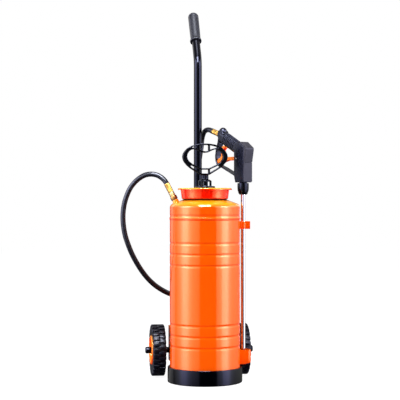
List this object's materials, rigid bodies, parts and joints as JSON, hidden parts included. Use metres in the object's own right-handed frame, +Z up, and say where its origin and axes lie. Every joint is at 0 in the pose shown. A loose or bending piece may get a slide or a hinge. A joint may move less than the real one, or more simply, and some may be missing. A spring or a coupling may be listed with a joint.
{
  "type": "wheeled compression sprayer",
  "caption": "Wheeled compression sprayer: upright steel tank in a boot, push pole, D-handled pump, and a hose to a trigger gun whose lance is clipped beside the tank.",
  "frame": {"origin": "centre of the boot's flat underside, on the tank's axis", "axes": "+Z up along the tank's axis, +X to the lance's side, +Y to the back, where the wheels and the pole are"},
  "size_m": [0.3948, 0.369, 1.0885],
  "materials": {
    "orange_paint": "gloss",
    "bare_steel": "satin",
    "boot_rubber": "gloss",
    "brass": "polished",
    "pale_brass": "polished",
    "inner_plastic": "satin",
    "pole_paint": "gloss",
    "black_plastic": "satin",
    "zinc_steel": "satin",
    "grip_foam": "matte",
    "tyre_rubber": "matte",
    "hub_paint": "gloss",
    "seal_rubber": "matte",
    "barrel_steel": "satin",
    "polished_steel": "polished",
    "gun_plastic": "satin",
    "grey_plastic": "satin",
    "trigger_plastic": "gloss",
    "hose_rubber": "satin"
  },
  "bodies": {
    "cart": {"tank_wall": "orange_paint", "tank_bottom": "bare_steel", "tank_head": "orange_paint", "neck_ring": "orange_paint", "funnel": "orange_paint", "boot": "boot_rubber", "outlet_boss": "orange_paint", "outlet_nut": "brass", "hose_coupling": "pale_brass", "tank_ferrule": "brass", "dip_tube": "inner_plastic", "dip_filter": "inner_plastic", "axle_bracket": "orange_paint", "pole_standoff": "orange_paint", "pole": "pole_paint", "pole_plug": "black_plastic", "pole_bolt_low": "zinc_steel", "pole_bolt_high": "zinc_steel", "pole_grip": "grip_foam", "axle": "zinc_steel", "spacer_left": "black_plastic", "spacer_right": "black_plastic", "axle_cap_left": "black_plastic", "axle_cap_right": "black_plastic", "lance_clip": "orange_paint", "lance_pocket": "orange_paint", "hose": "hose_rubber"},
    "wheel_left": {"tyre_left": "tyre_rubber", "hub_left": "hub_paint", "bush_left": "black_plastic"},
    "wheel_right": {"tyre_right": "tyre_rubber", "hub_right": "hub_paint", "bush_right": "black_plastic"},
    "gasket": {"cap_gasket": "seal_rubber"},
    "pump_head": {"pump_cap": "black_plastic", "pump_barrel": "barrel_steel", "foot_valve": "seal_rubber"},
    "plunger": {"pump_handle": "black_plastic", "handle_pin": "zinc_steel", "pump_rod": "polished_steel", "piston": "inner_plastic", "piston_cup": "seal_rubber"},
    "wand": {"gun_body": "gun_plastic", "gun_hood": "grey_plastic", "gun_spine": "grey_plastic", "trigger_pin": "zinc_steel", "valve_spring": "zinc_steel", "gun_fitting": "brass", "gun_ferrule": "brass", "lance": "polished_steel", "lance_seal": "seal_rubber", "nozzle_body": "brass"},
    "trigger": {"trigger": "trigger_plastic"},
    "valve": {"valve_stem": "polished_steel"},
    "lance_nut": {"lance_nut": "black_plastic"},
    "nozzle": {"nozzle_cap": "black_plastic"}
  },
  "joints": [
    {"name": "wheel_left_spin", "type": "hinge", "parent": "cart", "child": "wheel_left", "pos_m": [-0.1235, 0.116, 0.077], "axis": [1, 0, 0], "continuous": true},
    {"name": "wheel_right_spin", "type": "hinge", "parent": "cart", "child": "wheel_right", "pos_m": [0.1235, 0.116, 0.077], "axis": [1, 0, 0], "continuous": true},
    {"name": "pump_head_turn", "type": "hinge", "parent": "gasket", "child": "pump_head", "pos_m": [0, 0, 0.55], "axis": [0, 0, 1], "range_deg": [0, 720]},
    {"name": "pump_head_lift", "type": "slide", "parent": "cart", "child": "gasket", "axis": [0, 0, 1], "range_m": [0, 0.008]},
    {"name": "pump_stroke", "type": "slide", "parent": "pump_head", "child": "plunger", "axis": [0, 0, 1], "range_m": [0, 0.25]},
    {"name": "wand_lift", "type": "slide", "parent": "cart", "child": "wand", "axis": [0, 0, 1], "range_m": [0, 0.06], "deforming": ["hose"]},
    {"name": "trigger_pull", "type": "hinge", "parent": "wand", "child": "trigger", "pos_m": [0.10308, 0.01187, 0.636], "axis": [0.848, 0.5299, 0], "range_deg": [0, 10], "stiffness_Nm_per_rad": 1, "springref_deg": -8.59},
    {"name": "valve_open", "type": "slide", "parent": "wand", "child": "valve", "axis": [0, 0, -1], "range_m": [0, 0.003], "deforming": ["valve_spring"]},
    {"name": "lance_nut_turn", "type": "hinge", "parent": "wand", "child": "lance_nut", "pos_m": [0.1105, 0, 0.55], "axis": [0, 0, 1], "range_deg": [0, 360]},
    {"name": "nozzle_turn", "type": "hinge", "parent": "wand", "child": "nozzle", "pos_m": [0.1105, 0, 0.06], "axis": [0, 0, 1], "range_deg": [0, 360]}
  ],
  "couplings": [
    {"joint": "pump_head_lift", "follows": "pump_head_turn", "m_per_rad": 0.000636},
    {"joint": "valve_open", "follows": "trigger_pull", "m_per_rad": 0.0165}
  ]
}
